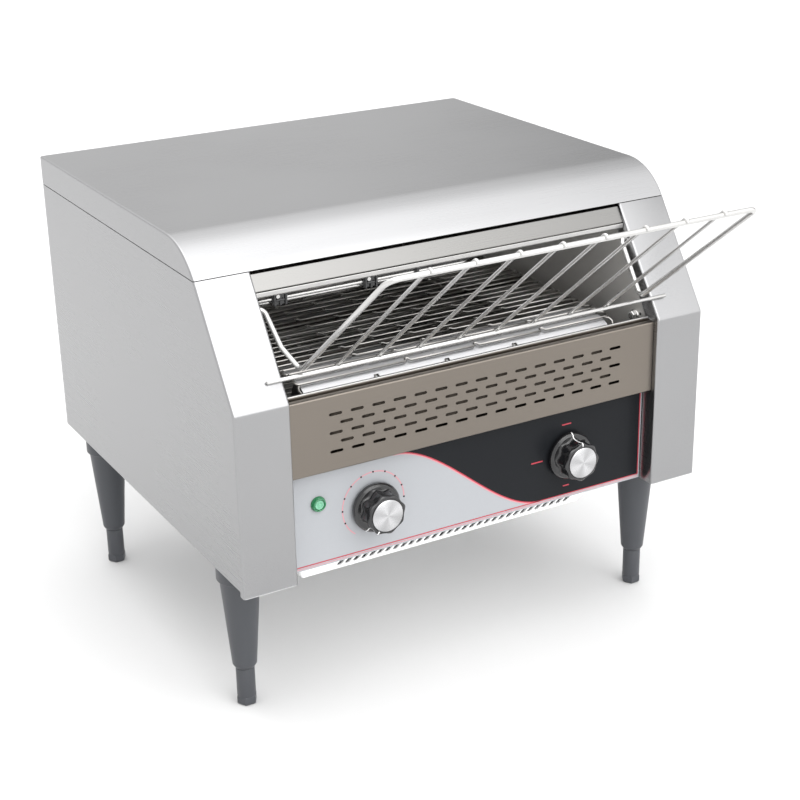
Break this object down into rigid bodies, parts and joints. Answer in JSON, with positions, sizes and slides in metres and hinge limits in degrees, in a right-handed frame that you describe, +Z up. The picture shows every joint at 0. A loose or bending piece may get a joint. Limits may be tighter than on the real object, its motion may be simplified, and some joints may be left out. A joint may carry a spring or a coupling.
{
  "type": "conveyor toaster oven",
  "caption": "Countertop conveyor toaster oven: stainless housing on tapered legs, wire belt through a heated chamber, tilting wire loading rack, slotted front baffle and two control knobs.",
  "frame": {"origin": "on the floor under the middle of the whole object's box, loading rack and crumb-tray lip included", "axes": "+X to the right seen from the front, +Y towards the back, +Z up"},
  "size_m": [0.418, 0.5197, 0.3935],
  "materials": {
    "brushed_stainless": "fine straight brushing",
    "tinted_stainless": "brushed, warm grey-brown from heat",
    "chamber_liner": "satin, slightly heat darkened",
    "galvanised_sheet": "zinc coated, dull",
    "white_sheet": "pale, satin",
    "ceramic": "unglazed steatite, off-white",
    "fascia_print": "two-tone silver and charcoal print",
    "chromed_wire": "bright chrome plate",
    "belt_wire": "drawn stainless wire",
    "bakelite": "black, semi-gloss",
    "spun_aluminium": "spun, concentric lines",
    "green_lens": "translucent green",
    "leg_plastic": "fine-textured dark grey",
    "dark_steel": "oiled",
    "heater_sheath": "oxidised",
    "sintered_bronze": "oil-filled sintered",
    "motor_paint": "dark enamel"
  },
  "bodies": {
    "housing": {"left_side_panel": "brushed_stainless", "right_side_panel": "brushed_stainless", "top_cover": "brushed_stainless", "lintel": "brushed_stainless", "heat_shield": "brushed_stainless", "rear_panel": "brushed_stainless", "toast_slide": "brushed_stainless", "nose_guide": "brushed_stainless", "perforated_baffle": "tinted_stainless", "left_chamber_wall": "chamber_liner", "right_chamber_wall": "chamber_liner", "ceiling_reflector": "chamber_liner", "base_plate": "galvanised_sheet", "chamber_floor": "galvanised_sheet", "motor_bracket": "galvanised_sheet", "speed_regulator": "galvanised_sheet", "belly_pan": "white_sheet", "terminal_block": "ceramic", "control_panel": "fascia_print", "conveyor_belt": "belt_wire", "rotary_switch": "bakelite", "cable_gland": "bakelite", "indicator_lamp": "green_lens", "leg_front_left": "leg_plastic", "leg_front_right": "leg_plastic", "leg_back_left": "leg_plastic", "leg_back_right": "leg_plastic", "nose_rod": "dark_steel", "nose_disc_left": "dark_steel", "nose_disc_right": "dark_steel", "drive_chain": "dark_steel", "sensor_clamp_left": "dark_steel", "sensor_clamp_middle": "dark_steel", "upper_heater_1": "heater_sheath", "upper_heater_2": "heater_sheath", "upper_heater_3": "heater_sheath", "lower_heater_1": "heater_sheath", "lower_heater_2": "heater_sheath", "lower_heater_3": "heater_sheath", "sensor_bulb": "heater_sheath", "drive_bearing_left": "sintered_bronze", "drive_bearing_right": "sintered_bronze", "gear_motor": "motor_paint"},
    "rack": {"loading_rack": "chromed_wire"},
    "conveyor_drive": {"drive_shaft": "dark_steel", "drive_sprocket_left": "dark_steel", "drive_sprocket_right": "dark_steel", "driven_sprocket": "dark_steel"},
    "motor_output": {"motor_sprocket": "dark_steel"},
    "crumb_drawer": {"crumb_tray": "brushed_stainless"},
    "speed_control": {"speed_knob": "bakelite", "speed_knob_cap": "spun_aluminium"},
    "mode_switch": {"switch_knob": "bakelite", "switch_knob_cap": "spun_aluminium"},
    "foot_fl": {"foot_front_left": "leg_plastic"},
    "foot_fr": {"foot_front_right": "leg_plastic"},
    "foot_bl": {"foot_back_left": "leg_plastic"},
    "foot_br": {"foot_back_right": "leg_plastic"}
  },
  "joints": [
    {"name": "rack_lift", "type": "hinge", "parent": "housing", "child": "rack", "pos_m": [0, -0.08658, 0.324], "axis": [-1, 0, 0], "range_deg": [0, 60]},
    {"name": "conveyor_turn", "type": "hinge", "parent": "housing", "child": "conveyor_drive", "pos_m": [0, 0.19842, 0.2413], "axis": [1, 0, 0], "continuous": true},
    {"name": "motor_turn", "type": "hinge", "parent": "housing", "child": "motor_output", "pos_m": [0.186, 0.15842, 0.165], "axis": [1, 0, 0], "continuous": true},
    {"name": "crumb_tray_pull", "type": "slide", "parent": "housing", "child": "crumb_drawer", "axis": [0, 1, 0], "range_m": [0, 0.33]},
    {"name": "speed_knob_turn", "type": "hinge", "parent": "housing", "child": "speed_control", "pos_m": [-0.09, -0.13358, 0.1612], "axis": [0, 1, 0], "range_deg": [0, 270]},
    {"name": "mode_switch_turn", "type": "hinge", "parent": "housing", "child": "mode_switch", "pos_m": [0.09, -0.13358, 0.1612], "axis": [0, 1, 0], "range_deg": [-180, 0]},
    {"name": "foot_screw_fl", "type": "slide", "parent": "housing", "child": "foot_fl", "axis": [0, 0, -1], "range_m": [0, 0.02]},
    {"name": "foot_screw_fr", "type": "slide", "parent": "housing", "child": "foot_fr", "axis": [0, 0, -1], "range_m": [0, 0.02]},
    {"name": "foot_screw_bl", "type": "slide", "parent": "housing", "child": "foot_bl", "axis": [0, 0, -1], "range_m": [0, 0.02]},
    {"name": "foot_screw_br", "type": "slide", "parent": "housing", "child": "foot_br", "axis": [0, 0, -1], "range_m": [0, 0.02]}
  ],
  "couplings": [
    {"joint": "motor_turn", "follows": "conveyor_turn", "ratio": 1.5}
  ]
}
